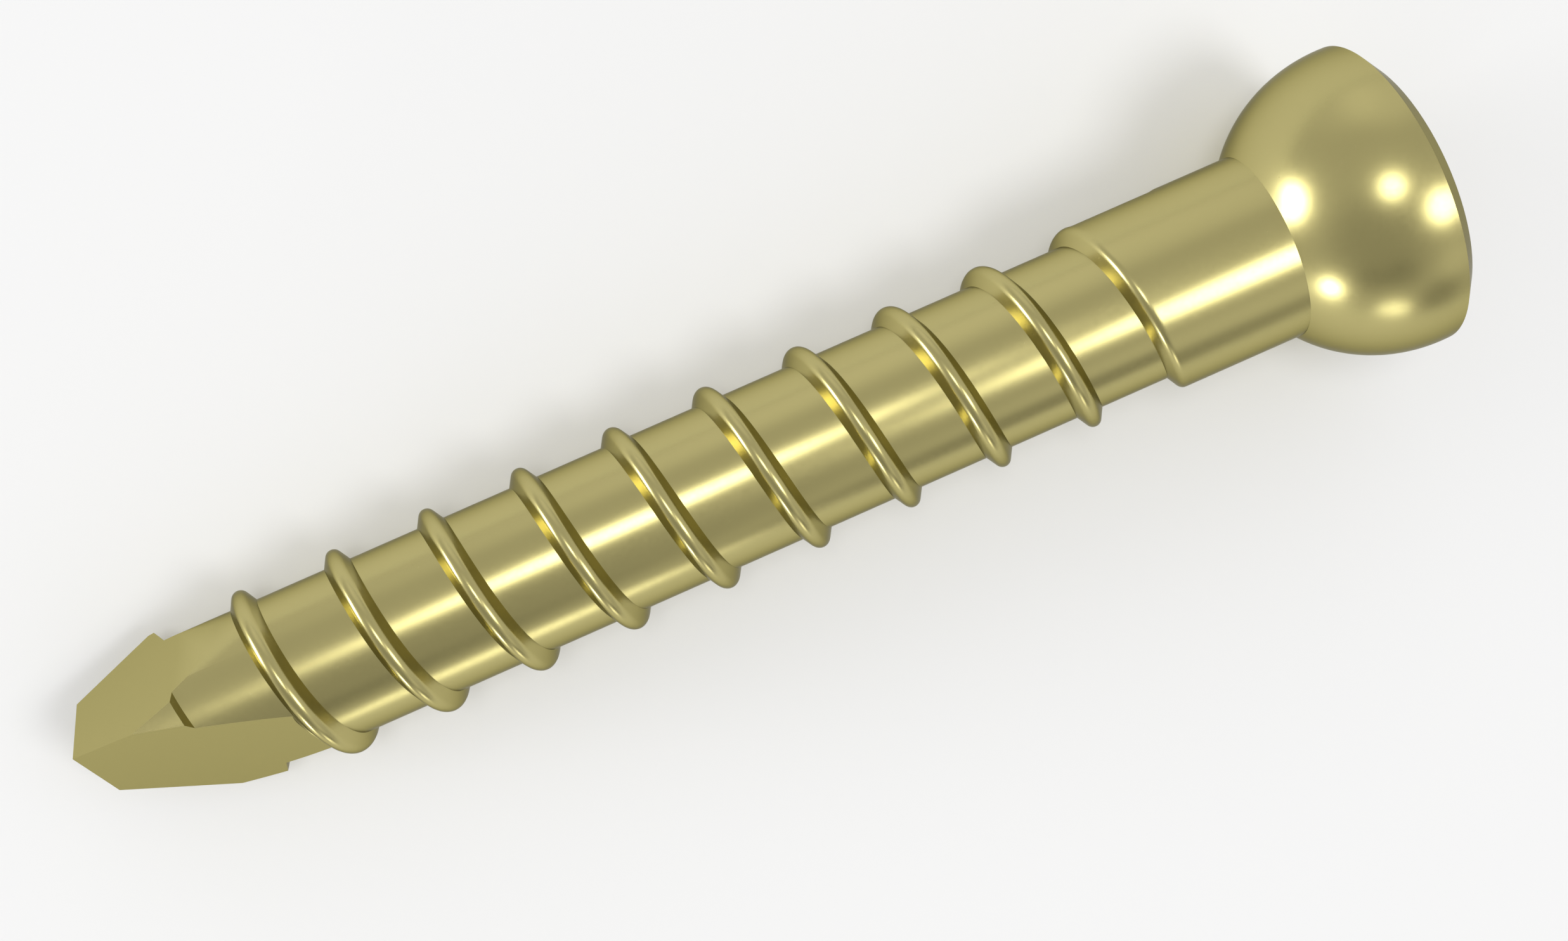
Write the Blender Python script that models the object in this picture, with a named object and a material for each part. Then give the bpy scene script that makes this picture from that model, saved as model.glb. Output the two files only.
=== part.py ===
"""A bone-screw-like interlocking bolt with a ball head, modelled as the one turned and ground piece it is.

The bolt is built upright on its own axis, tip end at z = 0 and head up, then laid down as it rests.
Azimuths are counted from the side that faces the viewer when the bolt lies, right-handed about the axis.
All sizes are in millimetres and turned into metres once, at the end.
"""

import math

import bmesh
import bpy
from mathutils import Matrix, Vector

# shank and thread
MAJOR_R = 2.445
CORE_R = 2.06
PITCH = 2.5
CREST_R = 0.2213
FLANK_DEG = 30.0
TIP_LENGTH = 5.094
TURNS_TO_NECK = 9
GROOVE_STARTS_DEG = -180.0
RUN_OUT_STARTS_DEG = 90.0
RUN_OUT_ENDS_DEG = 280.0
RUN_OUT_LAST_SHARE = 0.1
RUN_OUT_END_TURNS = 1.1

# ball head
BALL_R = 4.0
BALL_CENTRE_Z = 34.94
EDGE_HEIGHT = 0.19
CHAMFER_HEIGHT = 0.40
CHAMFER_DEPTH = 0.53

# hexagon recess in the head's flat top, on the side that the photograph hides
HEX_FLATS = 3.5
HEX_DEPTH = 2.3
HEX_MOUTH_DEPTH = 0.25
HEX_MOUTH_WIDTH = 0.10
HEX_CONE_DEPTH = 0.7

# cutting tip: three ground flats, each (azimuth of its normal, distance from the axis at the end as a share of
# MAJOR_R, slope)
FLAT_A = (-55.7, 0.427, 13.0)
FLAT_B = (60.9, 0.1963, 13.0)
FLAT_C = (187.6, 0.2082, 12.7)
FLAT_SPREAD_DEG = 75.0
WALL_CLEARANCE = 0.02

# relieved corner between flats A and B, lower by this share of the thread's depth
CORNER_SHARE = 0.5065
CORNER_WIDTH_LOSS = 0.23
CORNER_FROM_DEG = -31.0
CORNER_TO_DEG = 8.0

# how it lies: the roll in which it comes to rest by itself
VIEW_ELEVATION_DEG = 98.0

# how far the cutters stand proud, and the radius their walls start from
CUTTER_MARGIN_LENGTH = 1.5
CUTTER_INNER_R = 0.15

# fineness
COLUMNS = 48
CREST_STEPS = 4
BALL_STEPS = 13
WALL_COLUMNS = 20

GOLD = (0.80, 0.70, 0.30, 1.0)
TO_METRES = 0.001
MERGE = 1e-5
CUT_MERGE = 2e-3

FLANK_SLOPE = math.tan(math.radians(FLANK_DEG))
DEPTH = MAJOR_R - CORE_R
CREST_HALF_WIDTH = CREST_R * (1 / math.cos(math.radians(FLANK_DEG)) - FLANK_SLOPE)
BASE_WIDTH = 2 * (CREST_HALF_WIDTH + DEPTH * FLANK_SLOPE)
TANGENT_DEPTH = CREST_R * (1 - math.sin(math.radians(FLANK_DEG)))
TANGENT_RISE = (DEPTH - TANGENT_DEPTH) * FLANK_SLOPE
CORNER_R = MAJOR_R - CORNER_SHARE * DEPTH
THREAD_END = TIP_LENGTH + PITCH * (TURNS_TO_NECK + RUN_OUT_END_TURNS)
NECK_END = BALL_CENTRE_Z - math.sqrt(BALL_R ** 2 - MAJOR_R ** 2)
EDGE_Z = BALL_CENTRE_Z + EDGE_HEIGHT
EDGE_R = math.sqrt(BALL_R ** 2 - EDGE_HEIGHT ** 2)
TOP_Z = EDGE_Z + CHAMFER_HEIGHT
TOP_R = EDGE_R - CHAMFER_DEPTH


def clear_scene():
    for obj in list(bpy.data.objects):
        bpy.data.objects.remove(obj, do_unlink=True)
    for group in list(bpy.data.collections):
        bpy.data.collections.remove(group)


def new_collection(name, hidden):
    group = bpy.data.collections.new(name)
    bpy.context.scene.collection.children.link(group)
    group.hide_render = hidden
    return group


def new_object(name, body, group):
    """An object of this bmesh, with its doubled points merged and its faces turned outward."""
    bmesh.ops.remove_doubles(body, verts=body.verts, dist=MERGE)
    bmesh.ops.dissolve_degenerate(body, edges=body.edges, dist=MERGE)
    bmesh.ops.recalc_face_normals(body, faces=body.faces)
    mesh = bpy.data.meshes.new(name)
    body.to_mesh(mesh)
    body.free()
    obj = bpy.data.objects.new(name, mesh)
    group.objects.link(obj)
    return obj


def polar(azimuth_deg, radius, z):
    azimuth = math.radians(azimuth_deg)
    return Vector((radius * math.cos(azimuth), radius * math.sin(azimuth), z))


def groove_share(turn_deg):
    """How much of its full depth the groove has where the ridge to its right stands at this angle of the helix."""
    past = turn_deg - 360.0 * TURNS_TO_NECK
    if turn_deg < GROOVE_STARTS_DEG or past > RUN_OUT_ENDS_DEG:
        return 0.0
    if past < RUN_OUT_STARTS_DEG:
        return 1.0
    gone = (past - RUN_OUT_STARTS_DEG) / (RUN_OUT_ENDS_DEG - RUN_OUT_STARTS_DEG)
    return 1.0 - gone * (1.0 - RUN_OUT_LAST_SHARE)


def corner_here(turn_deg):
    """True on the relieved corner, one turn before the thread's first ridge."""
    return CORNER_FROM_DEG < turn_deg + 360.0 < CORNER_TO_DEG


def corner_azimuth(azimuth_deg):
    return CORNER_FROM_DEG < (azimuth_deg + 180.0) % 360.0 - 180.0 < CORNER_TO_DEG


def ridge_section(turn_deg):
    """The section of one ridge at this angle of the helix, foot to foot, as (z, radius) pairs up the axis."""
    foot_z = TIP_LENGTH + PITCH * turn_deg / 360.0
    floor_before = MAJOR_R - DEPTH * groove_share(turn_deg)
    floor_after = MAJOR_R - DEPTH * groove_share(turn_deg + 360.0)
    if corner_here(turn_deg):
        foot = foot_z + BASE_WIDTH - CORNER_WIDTH_LOSS
        edge = foot - (CORNER_R - CORE_R) * FLANK_SLOPE
        land = [(foot_z + (edge - foot_z) * i / (CREST_STEPS + 1), CORNER_R) for i in range(CREST_STEPS + 2)]
        return land + [(foot, CORE_R)]
    if turn_deg < GROOVE_STARTS_DEG:
        foot = foot_z + BASE_WIDTH
        edge = foot - (MAJOR_R - floor_after) * FLANK_SLOPE
        land = [(foot_z + (edge - foot_z) * i / (CREST_STEPS + 1), MAJOR_R) for i in range(CREST_STEPS + 2)]
        return land + [(foot, floor_after)]
    points = [(foot_z + min((floor_before - CORE_R) * FLANK_SLOPE, TANGENT_RISE), floor_before)]
    middle = foot_z + BASE_WIDTH / 2
    reach = 90.0 - FLANK_DEG
    for i in range(CREST_STEPS + 1):
        turn = math.radians(-reach + 2 * reach * i / CREST_STEPS)
        radius = MAJOR_R - CREST_R + CREST_R * math.cos(turn)
        floor = floor_before if i < CREST_STEPS / 2 else floor_after
        points.append((middle + CREST_R * math.sin(turn), max(radius, floor)))
    points.append((foot_z + BASE_WIDTH - min((floor_after - CORE_R) * FLANK_SLOPE, TANGENT_RISE), floor_after))
    return points


def column(azimuth_deg):
    """One line up the bolt's side at this azimuth, from the tip's end to the head's top."""
    line = []
    land_r = CORNER_R if corner_azimuth(azimuth_deg) else MAJOR_R
    for turn in range(-4, TURNS_TO_NECK + 3):
        turn_deg = 360.0 * turn + azimuth_deg
        most = land_r if turn_deg < GROOVE_STARTS_DEG else MAJOR_R
        line += [(z, min(radius, most)) for z, radius in ridge_section(turn_deg)]
    points = []
    for z, radius in line:
        if z <= 0.0:
            points.append((0.0, land_r))
        elif z >= THREAD_END:
            points.append((THREAD_END, MAJOR_R))
        else:
            points.append((z, radius))
    start = math.asin(MAJOR_R / BALL_R)
    end = math.pi / 2 + math.asin(EDGE_HEIGHT / BALL_R)
    for i in range(BALL_STEPS + 1):
        angle = start + (end - start) * i / BALL_STEPS
        points.append((BALL_CENTRE_Z - BALL_R * math.cos(angle), BALL_R * math.sin(angle)))
    points.append((TOP_Z, TOP_R))
    return points


def build_blank(group):
    """The turned and threaded bolt before its tip is ground: one closed skin of columns, closed by two flat ends."""
    body = bmesh.new()
    grid = []
    for i in range(COLUMNS + 1):
        azimuth = 360.0 * i / COLUMNS
        grid.append([body.verts.new(polar(azimuth, radius, z)) for z, radius in column(azimuth)])
    for i in range(COLUMNS):
        for j in range(len(grid[0]) - 1):
            corners = (grid[i][j], grid[i + 1][j], grid[i + 1][j + 1], grid[i][j + 1])
            body.faces.new(corners)
    body.faces.new([line[0] for line in grid[:COLUMNS]])
    body.faces.new([line[-1] for line in grid[:COLUMNS]])
    return new_object("interlocking_bolt", body, group)


def build_flat_cutter(name, flat, group):
    """What the wheel takes away for one flat: outside its plane, and on the tip's side of the first ridge's flank."""
    azimuth, share, slope_deg = flat
    block = bmesh.new()
    radii = (CUTTER_INNER_R, CORE_R, MAJOR_R + CUTTER_MARGIN_LENGTH)
    lines = []
    for i in range(WALL_COLUMNS + 1):
        here = azimuth - FLAT_SPREAD_DEG + 2 * FLAT_SPREAD_DEG * i / WALL_COLUMNS
        foot = TIP_LENGTH + PITCH * here / 360.0 - WALL_CLEARANCE
        rows = [polar(here, radii[0], -CUTTER_MARGIN_LENGTH)]
        rows += [polar(here, radius, foot + (radius - CORE_R) * FLANK_SLOPE) for radius in radii]
        rows.append(polar(here, radii[2], -CUTTER_MARGIN_LENGTH))
        lines.append([block.verts.new(point) for point in rows])
    rows = len(lines[0])
    for i in range(WALL_COLUMNS):
        for j in range(rows):
            after = (j + 1) % rows
            block.faces.new((lines[i][j], lines[i + 1][j], lines[i + 1][after], lines[i][after]))
    block.faces.new(lines[0])
    block.faces.new(lines[-1])
    sector = new_object(name, block, group)

    half = bmesh.new()
    bmesh.ops.create_cube(half, size=1.0)
    size = 8 * BALL_R
    shape = Matrix.Translation((size / 2, 0.0, 0.0)) @ Matrix.Diagonal((size, size, size, 1.0))
    lean = Matrix.Rotation(math.radians(slope_deg), 4, "Y")
    turn = Matrix.Rotation(math.radians(azimuth), 4, "Z")
    foot_of_plane = turn @ Matrix.Translation((share * MAJOR_R, 0.0, 0.0)) @ lean
    bmesh.ops.transform(half, matrix=foot_of_plane @ shape, verts=half.verts)
    outside = new_object(name + "_side", half, group)
    for helper in (sector, outside):
        helper.display_type = "WIRE"
        helper.hide_render = True
    meet = sector.modifiers.new("outside the plane", "BOOLEAN")
    meet.operation = "INTERSECT"
    meet.solver = "EXACT"
    meet.object = outside
    return sector


def build_hex_cutter(group):
    """The drive recess: a hexagon with a drilled cone at its bottom and a countersunk mouth."""
    corner_r = HEX_FLATS / 2 / math.cos(math.radians(30.0))
    body = bmesh.new()
    top = TOP_Z + CUTTER_MARGIN_LENGTH
    bottom = TOP_Z - HEX_DEPTH
    sides = 6
    upper = [body.verts.new(polar(60.0 * i, corner_r, top)) for i in range(sides)]
    lower = [body.verts.new(polar(60.0 * i, corner_r, bottom)) for i in range(sides)]
    point = body.verts.new((0.0, 0.0, bottom - HEX_CONE_DEPTH))
    for i in range(sides):
        after = (i + 1) % sides
        body.faces.new((upper[i], upper[after], lower[after], lower[i]))
        body.faces.new((lower[i], lower[after], point))
    body.faces.new(upper)
    hexagon = new_object("hex_cutter", body, group)

    mouth = bmesh.new()
    overlap = 2 * HEX_MOUTH_DEPTH
    wide_r = corner_r + HEX_MOUTH_WIDTH
    bmesh.ops.create_cone(
        mouth,
        cap_ends=True,
        segments=COLUMNS,
        radius1=wide_r - HEX_MOUTH_DEPTH,
        radius2=wide_r + overlap,
        depth=HEX_MOUTH_DEPTH + overlap,
        matrix=Matrix.Translation((0.0, 0.0, TOP_Z + (overlap - HEX_MOUTH_DEPTH) / 2)),
    )
    countersink = new_object("hex_mouth_cutter", mouth, group)
    for helper in (hexagon, countersink):
        helper.display_type = "WIRE"
        helper.hide_render = True
    return hexagon, countersink


def cut(obj, cutter):
    step = obj.modifiers.new("cut by " + cutter.name, "BOOLEAN")
    step.operation = "DIFFERENCE"
    step.solver = "EXACT"
    step.object = cutter


def applied_mesh(obj):
    """The object's mesh with its cuts made, as a bmesh."""
    graph = bpy.context.evaluated_depsgraph_get()
    made = bpy.data.meshes.new_from_object(obj.evaluated_get(graph))
    body = bmesh.new()
    body.from_mesh(made)
    bpy.data.meshes.remove(made)
    bmesh.ops.remove_doubles(body, verts=body.verts, dist=CUT_MERGE)
    bmesh.ops.dissolve_degenerate(body, edges=body.edges, dist=CUT_MERGE)
    bmesh.ops.triangulate(body, faces=body.faces, quad_method="BEAUTY", ngon_method="BEAUTY")
    return body


def resting_turn(points):
    """The rotation that lays the bolt down: viewer's side up by the chosen elevation, ball and shank both touching."""
    elevation = math.radians(VIEW_ELEVATION_DEG)
    lay = Matrix.Rotation(math.radians(90.0), 4, "Y")
    roll = Matrix.Rotation(1.5 * math.pi - elevation, 4, "Z")
    low, high = 0.0, math.radians(10.0)
    for _ in range(50):
        tilt = (low + high) / 2
        turn = Matrix.Rotation(-tilt, 4, "Y") @ lay @ roll
        heights = [((turn @ point).z, point.z) for point in points]
        ball = min(height for height, z in heights if z > NECK_END)
        shank = min(height for height, z in heights if z <= NECK_END)
        if ball < shank:
            low = tilt
        else:
            high = tilt
    tilt = (low + high) / 2
    print(f"the axis rises {math.degrees(tilt):.4f} degrees from the tip to the head")
    return Matrix.Rotation(-tilt, 4, "Y") @ lay @ roll


def lay_down(body):
    """Moves the mesh to its resting pose, in metres, with the middle of its base box at the origin."""
    turn = resting_turn([vert.co.copy() for vert in body.verts])
    bmesh.ops.transform(body, matrix=turn, verts=body.verts)
    low = [min(vert.co[axis] for vert in body.verts) for axis in range(3)]
    high = [max(vert.co[axis] for vert in body.verts) for axis in range(3)]
    place = Matrix.Translation((-(low[0] + high[0]) / 2, -(low[1] + high[1]) / 2, -low[2]))
    bmesh.ops.transform(body, matrix=Matrix.Scale(TO_METRES, 4) @ place, verts=body.verts)


def metal():
    material = bpy.data.materials.new("gold_anodised_titanium")
    material.use_nodes = True
    shader = material.node_tree.nodes["Principled BSDF"]
    shader.inputs["Base Color"].default_value = GOLD
    shader.inputs["Metallic"].default_value = 1.0
    shader.inputs["Roughness"].default_value = 0.3
    return material


def main():
    clear_scene()
    made = new_collection("interlocking_bolt", False)
    tools = new_collection("cutters", True)
    bolt = build_blank(made)
    for name, flat in (("flat_a_cutter", FLAT_A), ("flat_b_cutter", FLAT_B), ("flat_c_cutter", FLAT_C)):
        cut(bolt, build_flat_cutter(name, flat, tools))
    for cutter in build_hex_cutter(tools):
        cut(bolt, cutter)
    body = applied_mesh(bolt)
    bolt.modifiers.clear()
    lay_down(body)
    body.to_mesh(bolt.data)
    body.free()
    bolt.data.materials.append(metal())
    bolt.data.shade_smooth()


main()
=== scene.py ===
"""The looks of an interlocking bolt: one turned, threaded and ground piece of gold-anodised metal.

The bolt is made upright on its own axis, tip end at z = 0 and head up, in millimetres, then laid as the
CAD lies. Azimuths are counted from the side that faces the camera, right-handed about the axis.
"""

import math

import bmesh
import bpy
import numpy as np
from mathutils import Matrix, Vector


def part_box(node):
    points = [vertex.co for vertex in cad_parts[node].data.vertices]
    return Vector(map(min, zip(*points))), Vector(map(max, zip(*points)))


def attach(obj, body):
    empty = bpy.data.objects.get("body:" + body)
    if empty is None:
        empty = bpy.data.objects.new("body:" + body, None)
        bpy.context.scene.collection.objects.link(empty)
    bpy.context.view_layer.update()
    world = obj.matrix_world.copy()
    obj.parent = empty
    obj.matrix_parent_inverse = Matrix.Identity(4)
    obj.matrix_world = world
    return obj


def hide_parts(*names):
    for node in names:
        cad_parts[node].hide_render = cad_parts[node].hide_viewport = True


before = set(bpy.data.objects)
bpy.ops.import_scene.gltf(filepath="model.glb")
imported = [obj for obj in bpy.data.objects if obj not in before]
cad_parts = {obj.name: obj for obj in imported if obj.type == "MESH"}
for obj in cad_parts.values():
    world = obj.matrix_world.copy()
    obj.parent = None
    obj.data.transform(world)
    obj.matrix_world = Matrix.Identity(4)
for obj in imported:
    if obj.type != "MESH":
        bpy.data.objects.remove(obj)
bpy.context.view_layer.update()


# shank and thread, as in the part's source
MAJOR_R = 2.445
CORE_R = 2.06
PITCH = 2.5
BASE_WIDTH = 0.70
FLANK_DEG = 30.0
FIRST_FOOT = 5.094
TURNS_TO_NECK = 9
GROOVE_STARTS_DEG = -180.0
RUN_OUT_STARTS_DEG = 90.0
RUN_OUT_ENDS_DEG = 280.0
RUN_OUT_LAST_SHARE = 0.1
NECK_STARTS_PAST_FOOT = 2.75

# ball head
BALL_R = 4.0
BALL_CENTRE = 34.94
EDGE_PAST_CENTRE = 0.19
CHAMFER_RISE = 0.40
CHAMFER_DROP = 0.53

# hexagon recess in the head's flat top
HEX_FLATS = 3.5
HEX_DEPTH = 2.3
HEX_MOUTH_DEPTH = 0.25
HEX_MOUTH_SPREAD = 0.10
HEX_CONE_DEPTH = 0.7

# cutting tip: three ground flats, each (azimuth of its normal, distance from the axis at the end, slope)
FLATS = ((-55.7, 1.044, 13.0), (60.9, 0.480, 13.0), (187.6, 0.509, 12.7))
FLAT_SPREAD_DEG = 75.0
WALL_CLEARANCE = 0.02

# how the cutters of the flats reach past what they cut
CUTTER_INNER_R = 0.15
CUTTER_PAST_THREAD = 1.5
CUTTER_BEFORE_TIP = 2.0
CUTTER_DEPTH = 40.0

# relieved corner between the first two flats
CORNER_R = 2.25
CORNER_SHIFT = 0.23
CORNER_FROM_DEG = -31.0
CORNER_TO_DEG = 8.0

# how it lies
VIEW_ELEVATION_DEG = 98.0
AXIS_RISE_DEG = 3.1658

# the camera, beside the bolt and in its own upright frame
CAMERA_AT = (47.690, 0.0, 16.524)
CAMERA_RIGHT = (0.03867686, 0.40332814, 0.91423767)
CAMERA_DOWN = (-0.01041078, 0.91503523, -0.40323957)
LENS_MM = 43.74
SENSOR_MM = 36.0

# floor: metres, linear colour
FLOOR_SIZE = 0.9
FLOOR_THICKNESS = 0.01
FLOOR_COLOUR = (0.95, 0.95, 0.95)
FLOOR_ROUGHNESS = 0.7

# metal: gold oxide film, seen face on and at a glance, and a fine grain in its roughness
METAL_COLOUR = (0.51, 0.453, 0.192)
METAL_EDGE_TINT = (0.38, 0.38, 0.36)
METAL_ROUGHNESS = (0.22, 0.29)
GRAIN_SCALE = 9000.0
GRAIN_DETAIL = 3.0

# soft round lamps, each (name, azimuth, part along the axis, angular radius, radiance) seen from the bolt
LAMP_DISTANCE = 250.0
LAMPS = (
    ("lamp_beside_camera", -2.0, -0.06, 7.6, 8.0),
    ("lamp_over_head", 24.0, 0.39, 10.0, 6.8),
    ("lamp_past_tip", -59.0, -0.92, 12.0, 11.0),
    ("lamp_low_by_tip", 89.5, -0.74, 4.5, 24.0),
    ("lamp_low_in_front", 93.5, -0.16, 8.0, 2.4),
)
# broad pale and dim patches of the studio's walls, each
# (azimuth, part along the axis, inner and outer angle, change)
WALL_LEVEL = 0.62
WALL_PATCHES = (
    (34.0, -0.42, 16.0, 46.0, -0.18),
    (70.0, -0.54, 2.0, 15.0, -0.18),
    (64.0, -0.22, 2.0, 15.0, -0.18),
    (87.0, 0.16, 3.0, 15.0, -0.30),
    (-65.0, 0.30, 8.0, 30.0, 0.23),
    (-72.0, -0.05, 6.0, 26.0, 0.11),
    (66.0, 0.34, 3.0, 15.0, 0.22),
    (10.0, 0.92, 10.0, 45.0, 0.12),
)

# fineness; distances in millimetres
COLUMNS = 240
CREST_STEPS = 10
FLANK_BAND = 0.08
BALL_STEPS = 30
WALL_COLUMNS = 100
MERGE_DISTANCE = 1e-5
CUT_MERGE_DISTANCE = 1e-4
SHARP_DEG = 30.0
ROOM_IN_BOX = 0.9999

MM = 0.001
FLANK_SLOPE = math.tan(math.radians(FLANK_DEG))
DEPTH = MAJOR_R - CORE_R
CREST_R = (BASE_WIDTH / 2 - DEPTH * FLANK_SLOPE) / (math.hypot(1.0, FLANK_SLOPE) - FLANK_SLOPE)
TANGENT_RISE = (DEPTH - CREST_R / 2) * FLANK_SLOPE
THREAD_END = FIRST_FOOT + PITCH * TURNS_TO_NECK + NECK_STARTS_PAST_FOOT
EDGE_Z = BALL_CENTRE + EDGE_PAST_CENTRE
TOP_Z = EDGE_Z + CHAMFER_RISE
TOP_R = math.sqrt(BALL_R ** 2 - EDGE_PAST_CENTRE ** 2) - CHAMFER_DROP


def groove_share(turn):
    """Share of its full depth that the groove left of each ridge has: 0 on the tip's land, 1 along the
    thread, and falling evenly with the angle through the run-out."""
    past = turn - 360.0 * TURNS_TO_NECK
    gone = np.clip((past - RUN_OUT_STARTS_DEG) / (RUN_OUT_ENDS_DEG - RUN_OUT_STARTS_DEG), 0.0, 1.0)
    share = 1.0 - gone * (1.0 - RUN_OUT_LAST_SHARE)
    return np.where((turn < GROOVE_STARTS_DEG) | (past > RUN_OUT_ENDS_DEG), 0.0, share)


def thread_rows(azimuth):
    """The thread as a helical sweep: at the angle t of the helix the ridge's left foot is at
    FIRST_FOOT + PITCH t / 360, and its section is foot, flank, an arc of CREST_R through MAJOR_R that is
    tangent to both flanks, flank, foot. A narrow band at the top of each flank keeps the rest of it flat
    under smooth shading. Before GROOVE_STARTS_DEG the section is a straight land, which is lower and
    shorter at the relieved corner. Returns heights and radii with one row for each station of each turn
    and one column for each azimuth."""
    turns = np.arange(-4, TURNS_TO_NECK + 3)[:, None, None]
    turn = 360.0 * turns + azimuth[None, None, :]
    foot = FIRST_FOOT + PITCH * turn / 360.0
    before = MAJOR_R - DEPTH * groove_share(turn)
    after = MAJOR_R - DEPTH * groove_share(turn + 360.0)
    step = np.linspace(-1.0, 1.0, CREST_STEPS + 1)[None, :, None]
    angle = np.radians(90.0 - FLANK_DEG) * step
    arc_z = foot + BASE_WIDTH / 2 + CREST_R * np.sin(angle)
    arc_r = MAJOR_R - CREST_R + CREST_R * np.cos(angle)
    arc_r = np.maximum(arc_r, np.where(step < 0.0, before, after))
    first_z = foot + np.minimum((before - CORE_R) * FLANK_SLOPE, TANGENT_RISE)
    last_z = foot + BASE_WIDTH - np.minimum((after - CORE_R) * FLANK_SLOPE, TANGENT_RISE)
    left_z = arc_z[:, :1] + FLANK_BAND * (first_z - arc_z[:, :1])
    left_r = arc_r[:, :1] + FLANK_BAND * (before - arc_r[:, :1])
    right_z = arc_z[:, -1:] + FLANK_BAND * (last_z - arc_z[:, -1:])
    right_r = arc_r[:, -1:] + FLANK_BAND * (after - arc_r[:, -1:])
    z = np.concatenate([first_z, left_z, arc_z, right_z, last_z], axis=1)
    r = np.concatenate([before, left_r, arc_r, right_r, after], axis=1)

    on_corner = (turn + 360.0 > CORNER_FROM_DEG) & (turn + 360.0 < CORNER_TO_DEG)
    land_r = np.where(on_corner, CORNER_R, MAJOR_R)
    land_foot = foot + BASE_WIDTH - np.where(on_corner, CORNER_SHIFT, 0.0)
    land_floor = np.where(on_corner, CORE_R, after)
    land_edge = land_foot - (land_r - land_floor) * FLANK_SLOPE
    share = np.linspace(0.0, 1.0, CREST_STEPS + 4)[None, :, None]
    land_z = np.concatenate([foot + (land_edge - foot) * share, land_foot], axis=1)
    land_radii = np.concatenate([land_r + 0.0 * share, land_floor], axis=1)
    is_land = on_corner | (turn < GROOVE_STARTS_DEG)
    z = np.where(is_land, land_z, z)
    r = np.where(is_land, land_radii, r)

    side = (azimuth + 180.0) % 360.0 - 180.0
    tip_r = np.where((side > CORNER_FROM_DEG) & (side < CORNER_TO_DEG), CORNER_R, MAJOR_R)
    most = np.where(turn < GROOVE_STARTS_DEG, tip_r[None, None, :], MAJOR_R)
    r = np.minimum(r, most)
    r = np.where(z <= 0.0, tip_r[None, None, :], np.where(z >= THREAD_END, MAJOR_R, r))
    z = np.clip(z, 0.0, THREAD_END)
    return z.reshape(-1, azimuth.size), r.reshape(-1, azimuth.size)


def head_rows(azimuth):
    """The head as a turned profile: a sphere of BALL_R about BALL_CENTRE from the neck to just past its
    widest, a chamfer, a flat top, a countersunk mouth, and a recess whose radius is the hexagon's half
    width over the cosine of the angle to the nearest flat's middle, closed by a drilled cone."""
    start = math.asin(MAJOR_R / BALL_R)
    end = math.pi / 2 + math.asin(EDGE_PAST_CENTRE / BALL_R)
    angle = np.linspace(start, end, BALL_STEPS + 1)
    z = BALL_CENTRE - BALL_R * np.cos(angle)
    r = BALL_R * np.sin(angle)
    hex_r = HEX_FLATS / 2 / np.cos(np.radians(azimuth % 60.0 - 30.0))
    mouth_r = HEX_FLATS / math.sqrt(3.0) + HEX_MOUTH_SPREAD
    sink = np.minimum(mouth_r - hex_r, HEX_MOUTH_DEPTH)
    flat = np.ones_like(azimuth)
    bottom_z = TOP_Z - HEX_DEPTH
    mouth_and_recess = [
        (TOP_Z * flat, TOP_R * flat),
        (TOP_Z * flat, mouth_r * flat),
        (TOP_Z - sink, mouth_r - sink),
        (TOP_Z - sink, hex_r),
        (bottom_z * flat, hex_r),
        ((bottom_z - HEX_CONE_DEPTH) * flat, 0.0 * flat),
    ]
    heights = np.array([row[0] for row in mouth_and_recess])
    radii = np.array([row[1] for row in mouth_and_recess])
    return np.concatenate([z[:, None] * flat, heights]), np.concatenate([r[:, None] * flat, radii])


def mesh_from(name, points, faces):
    mesh = bpy.data.meshes.new(name)
    mesh.from_pydata(points.reshape(-1, 3).tolist(), [], faces.tolist())
    body = bmesh.new()
    body.from_mesh(mesh)
    bmesh.ops.remove_doubles(body, verts=body.verts, dist=MERGE_DISTANCE)
    bmesh.ops.dissolve_degenerate(body, edges=body.edges, dist=MERGE_DISTANCE)
    bmesh.ops.recalc_face_normals(body, faces=body.faces)
    body.to_mesh(mesh)
    body.free()
    obj = bpy.data.objects.new(name, mesh)
    bpy.context.scene.collection.objects.link(obj)
    return obj


def grid_faces(rows, columns, closed_rows=False):
    """Four corners of every cell of a grid whose points are stored row after row."""
    down = rows if closed_rows else rows - 1
    j, i = np.meshgrid(np.arange(down), np.arange(columns - 1), indexing="ij")
    below = (j + 1) % rows
    here = j * columns + i
    there = below * columns + i
    return np.stack([here, here + 1, there + 1, there], -1).reshape(-1, 4)


def blank():
    """The bolt before its tip is ground: x = r cos(azimuth), y = r sin(azimuth) over the grid of the
    thread's and the head's rows, with a pole at each end. The seam joins each turn to the next one."""
    azimuth = np.linspace(0.0, 360.0, COLUMNS + 1)
    thread_z, thread_r = thread_rows(azimuth)
    head_z, head_r = head_rows(azimuth)
    z = np.concatenate([np.zeros((1, azimuth.size)), thread_z, head_z])
    r = np.concatenate([np.zeros((1, azimuth.size)), thread_r, head_r])
    turn = np.radians(azimuth)[None, :]
    points = np.stack([r * np.cos(turn), r * np.sin(turn), z], -1)
    return mesh_from("bolt", points, grid_faces(z.shape[0], azimuth.size))


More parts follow.
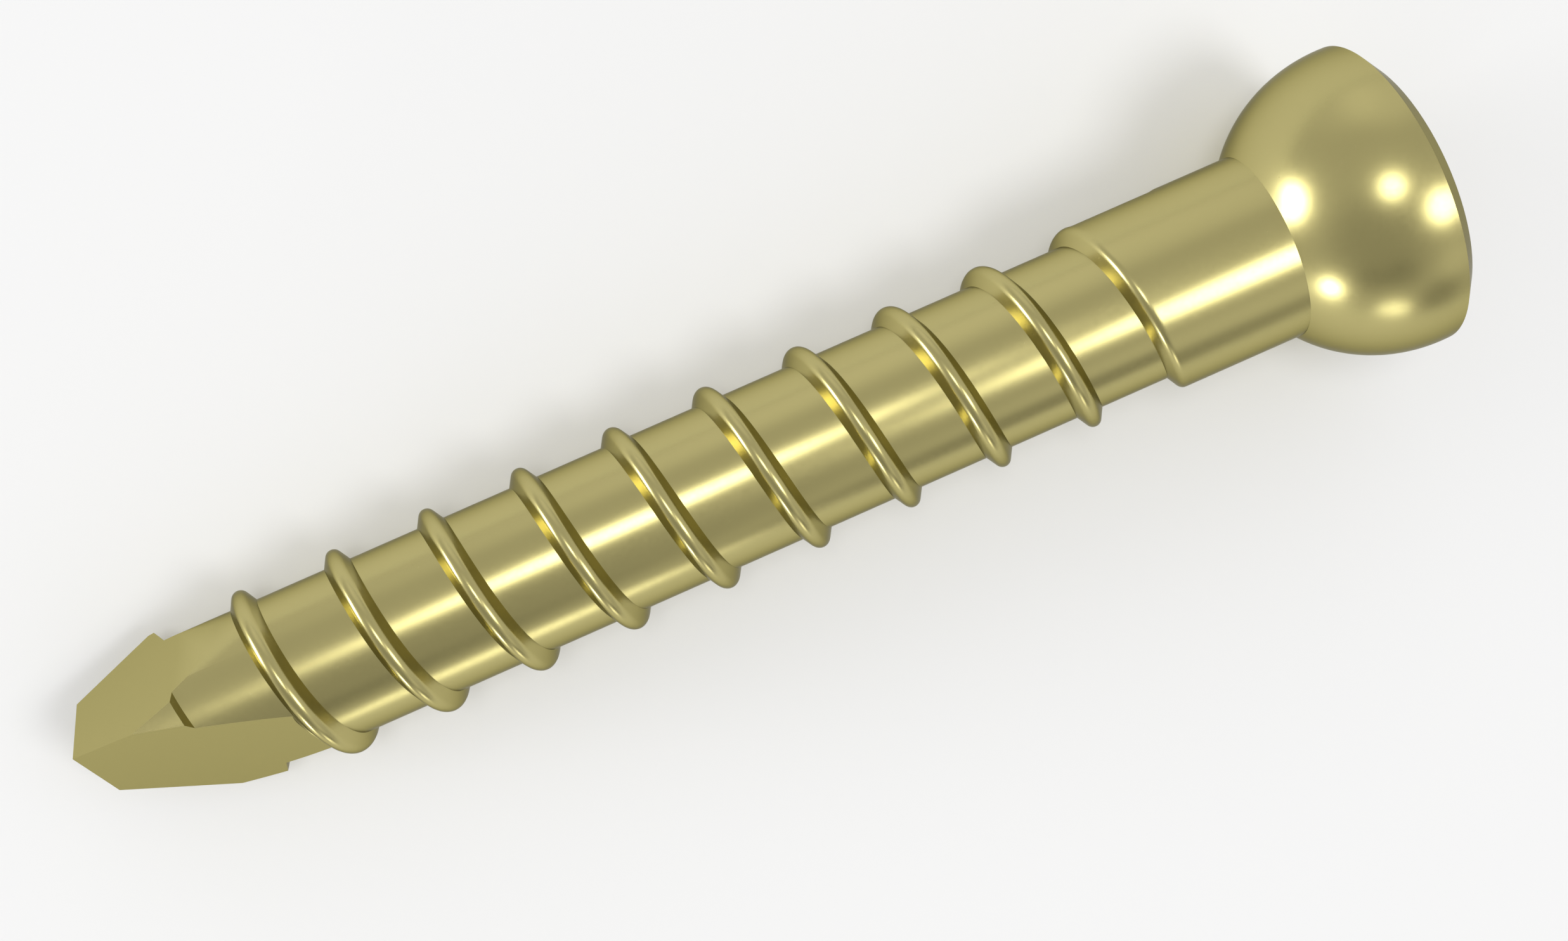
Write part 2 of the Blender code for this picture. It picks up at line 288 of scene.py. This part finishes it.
def flat_cutter(number, flat):
    """What the wheel takes away for one flat: a sector round the axis that ends at the first ridge's
    flank, which is z = foot + (r - CORE_R) tan(FLANK_DEG), met with the space outside the flat's plane."""
    azimuth, distance, slope = flat
    here = azimuth + FLAT_SPREAD_DEG * np.linspace(-1.0, 1.0, WALL_COLUMNS + 1)
    foot = FIRST_FOOT + PITCH * here / 360.0 - WALL_CLEARANCE
    outer = MAJOR_R + CUTTER_PAST_THREAD
    radii = np.array([CUTTER_INNER_R, CUTTER_INNER_R, CORE_R, outer, outer])[:, None]
    wall = foot + (radii - CORE_R) * FLANK_SLOPE
    is_end = np.array([True, False, False, False, True])[:, None]
    z = np.where(is_end, -CUTTER_BEFORE_TIP, wall)
    turn = np.radians(here)[None, :]
    points = np.stack([radii * np.cos(turn), radii * np.sin(turn), z], -1)
    sides = grid_faces(5, here.size, closed_rows=True).tolist()
    ends = [[row * here.size for row in range(5)], [row * here.size + here.size - 1 for row in range(5)]]
    mesh = bpy.data.meshes.new(f"sector_{number}")
    mesh.from_pydata(points.reshape(-1, 3).tolist(), [], sides + ends)
    body = bmesh.new()
    body.from_mesh(mesh)
    bmesh.ops.recalc_face_normals(body, faces=body.faces)
    body.to_mesh(mesh)
    body.free()
    sector = bpy.data.objects.new(f"sector_{number}", mesh)
    bpy.context.scene.collection.objects.link(sector)

    half = bmesh.new()
    bmesh.ops.create_cube(half, size=1.0)
    shape = Matrix.Translation((CUTTER_DEPTH / 2, 0.0, 0.0)) @ Matrix.Scale(CUTTER_DEPTH, 4)
    lean = Matrix.Rotation(math.radians(slope), 4, "Y")
    turned = Matrix.Rotation(math.radians(azimuth), 4, "Z")
    stand = turned @ Matrix.Translation((distance, 0.0, 0.0)) @ lean @ shape
    bmesh.ops.transform(half, matrix=stand, verts=half.verts)
    half_mesh = bpy.data.meshes.new(f"outside_{number}")
    half.to_mesh(half_mesh)
    half.free()
    outside = bpy.data.objects.new(f"outside_{number}", half_mesh)
    bpy.context.scene.collection.objects.link(outside)
    add_boolean(sector, outside, "INTERSECT")
    return sector, outside


def add_boolean(obj, other, operation):
    step = obj.modifiers.new(other.name, "BOOLEAN")
    step.operation = operation
    step.solver = "EXACT"
    step.object = other


def lying():
    """The turn that lays the upright bolt down, its seen side up by VIEW_ELEVATION_DEG, its axis rising."""
    lay = Matrix.Rotation(math.radians(90.0 - AXIS_RISE_DEG), 4, "Y")
    return lay @ Matrix.Rotation(math.radians(270.0 - VIEW_ELEVATION_DEG), 4, "Z")


def placed_in_box(mesh, low, high):
    """Lays the mesh down, shrinks it by the hair that its rounder sides stand proud of the CAD's box,
    rests it on the floor in the middle of that box, and returns the matrix from the upright frame to the
    world."""
    turn = lying()
    flat = np.zeros(len(mesh.vertices) * 3)
    mesh.vertices.foreach_get("co", flat)
    points = flat.reshape(-1, 3) @ np.array(turn.to_3x3()).T * MM
    least, most = points.min(0), points.max(0)
    room = (np.array(high) - np.array(low)) / (most - least)
    scale = min(1.0, float(room.min())) * ROOM_IN_BOX
    middle = (least + most) / 2 * scale
    goal = (np.array(low) + np.array(high)) / 2
    move = Vector((goal[0] - middle[0], goal[1] - middle[1], low[2] - least[2] * scale))
    place = Matrix.Translation(move) @ Matrix.Scale(scale * MM, 4) @ turn
    mesh.transform(place)
    return place


def bolt(low, high):
    made = blank()
    helpers = []
    for number, flat in enumerate(FLATS):
        sector, outside = flat_cutter(number, flat)
        add_boolean(made, sector, "DIFFERENCE")
        helpers += [sector, outside]
    graph = bpy.context.evaluated_depsgraph_get()
    mesh = bpy.data.meshes.new_from_object(made.evaluated_get(graph))
    for helper in helpers + [made]:
        bpy.data.objects.remove(helper, do_unlink=True)
    body = bmesh.new()
    body.from_mesh(mesh)
    bmesh.ops.remove_doubles(body, verts=body.verts, dist=CUT_MERGE_DISTANCE)
    bmesh.ops.dissolve_degenerate(body, edges=body.edges, dist=CUT_MERGE_DISTANCE)
    body.to_mesh(mesh)
    body.free()
    place = placed_in_box(mesh, low, high)
    mesh.name = "bolt"
    mesh.shade_smooth()
    mesh.set_sharp_from_angle(angle=math.radians(SHARP_DEG))
    obj = bpy.data.objects.new("bolt", mesh)
    bpy.context.scene.collection.objects.link(obj)
    obj.data.materials.clear()
    obj.data.materials.append(bolt_metal())
    return obj, place


def node(tree, kind, **values):
    made = tree.nodes.new(kind)
    for name, value in values.items():
        setattr(made, name, value)
    return made


def bolt_metal():
    material = bpy.data.materials.new("bolt_metal")
    material.use_nodes = True
    tree = material.node_tree
    shader = tree.nodes["Principled BSDF"]
    shader.inputs["Base Color"].default_value = (*METAL_COLOUR, 1.0)
    shader.inputs["Specular Tint"].default_value = (*METAL_EDGE_TINT, 1.0)
    shader.inputs["Metallic"].default_value = 1.0
    coordinate = node(tree, "ShaderNodeTexCoord")
    grain = node(tree, "ShaderNodeTexNoise")
    grain.inputs["Scale"].default_value = GRAIN_SCALE
    grain.inputs["Detail"].default_value = GRAIN_DETAIL
    tree.links.new(coordinate.outputs["Object"], grain.inputs["Vector"])
    rough = node(tree, "ShaderNodeMapRange")
    rough.inputs["To Min"].default_value = METAL_ROUGHNESS[0]
    rough.inputs["To Max"].default_value = METAL_ROUGHNESS[1]
    tree.links.new(grain.outputs["Fac"], rough.inputs["Value"])
    tree.links.new(rough.outputs["Result"], shader.inputs["Roughness"])
    return material


def floor():
    """A large square sheet with its top at height 0: a box of eight corners."""
    signs = np.array([(x, y, z) for z in (-1, 0) for y in (-0.5, 0.5) for x in (-0.5, 0.5)], float)
    points = signs * np.array([FLOOR_SIZE, FLOOR_SIZE, FLOOR_THICKNESS])
    faces = np.array([(0, 2, 3, 1), (4, 5, 7, 6), (0, 1, 5, 4), (2, 6, 7, 3), (0, 4, 6, 2), (1, 3, 7, 5)])
    obj = mesh_from("floor", points, faces)
    material = bpy.data.materials.new("white_floor")
    material.use_nodes = True
    shader = material.node_tree.nodes["Principled BSDF"]
    shader.inputs["Base Color"].default_value = (*FLOOR_COLOUR, 1.0)
    shader.inputs["Roughness"].default_value = FLOOR_ROUGHNESS
    obj.data.materials.append(material)


def way_to(azimuth, along):
    """The direction at this azimuth whose part along the bolt's axis, toward the head, is given."""
    across = math.sqrt(1.0 - along ** 2)
    turn = math.radians(azimuth)
    return Vector((across * math.cos(turn), across * math.sin(turn), along))


def lamp(place, name, azimuth, along, radius, radiance):
    """A round soft lamp that faces the bolt's middle, of the given angular radius. Its power is radiance
    by area by pi, as for a surface that sends the same light every way."""
    way = (place.to_3x3().normalized() @ way_to(azimuth, along)).normalized()
    data = bpy.data.lights.new(name, "AREA")
    data.shape = "DISK"
    data.size = 2 * LAMP_DISTANCE * MM * math.tan(math.radians(radius))
    data.energy = radiance * math.pi ** 2 * data.size ** 2 / 4
    obj = bpy.data.objects.new(name, data)
    obj.location = place @ Vector((0.0, 0.0, TOP_Z / 2)) + way * LAMP_DISTANCE * MM
    obj.rotation_euler = way.to_track_quat("Z", "Y").to_euler()
    bpy.context.scene.collection.objects.link(obj)


def camera(place):
    turn = place.to_3x3().normalized()
    right = turn @ Vector(CAMERA_RIGHT)
    up = turn @ -Vector(CAMERA_DOWN)
    back = right.cross(up)
    data = bpy.data.cameras.new("camera")
    data.lens = LENS_MM
    data.sensor_width = SENSOR_MM
    data.clip_start = MM
    obj = bpy.data.objects.new("camera", data)
    frame_axes = Matrix((right, up, back)).transposed().to_4x4()
    obj.matrix_world = Matrix.Translation(place @ Vector(CAMERA_AT)) @ frame_axes
    bpy.context.scene.collection.objects.link(obj)
    bpy.context.scene.camera = obj


def surroundings(place):
    """Plain walls of one level with broad soft patches: each adds its change times a smooth step of the
    angle between the view ray and the patch's direction."""
    studio = bpy.data.worlds.new("studio")
    studio.use_nodes = True
    tree = studio.node_tree
    sky = tree.nodes["Background"]
    sky.inputs["Color"].default_value = (1.0, 1.0, 1.0, 1.0)
    ray = node(tree, "ShaderNodeTexCoord")
    total = None
    for azimuth, along, inner, outer, change in WALL_PATCHES:
        way = (place.to_3x3().normalized() @ way_to(azimuth, along)).normalized()
        cosine = node(tree, "ShaderNodeVectorMath", operation="DOT_PRODUCT")
        cosine.inputs[1].default_value = way
        tree.links.new(ray.outputs["Generated"], cosine.inputs[0])
        patch = node(tree, "ShaderNodeMapRange", interpolation_type="SMOOTHSTEP")
        patch.inputs["From Min"].default_value = math.cos(math.radians(outer))
        patch.inputs["From Max"].default_value = math.cos(math.radians(inner))
        patch.inputs["To Max"].default_value = change
        tree.links.new(cosine.outputs["Value"], patch.inputs["Value"])
        level = node(tree, "ShaderNodeMath", operation="ADD")
        level.inputs[0].default_value = WALL_LEVEL
        if total is not None:
            tree.links.new(total.outputs["Value"], level.inputs[0])
        tree.links.new(patch.outputs["Result"], level.inputs[1])
        total = level
    tree.links.new(total.outputs["Value"], sky.inputs["Strength"])
    bpy.context.scene.world = studio


low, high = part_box("interlocking_bolt")
made, place = bolt(low, high)
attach(made, "root")
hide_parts("interlocking_bolt")

floor()
for row in LAMPS:
    lamp(place, *row)
surroundings(place)
camera(place)
bpy.context.scene.view_settings.view_transform = "Standard"
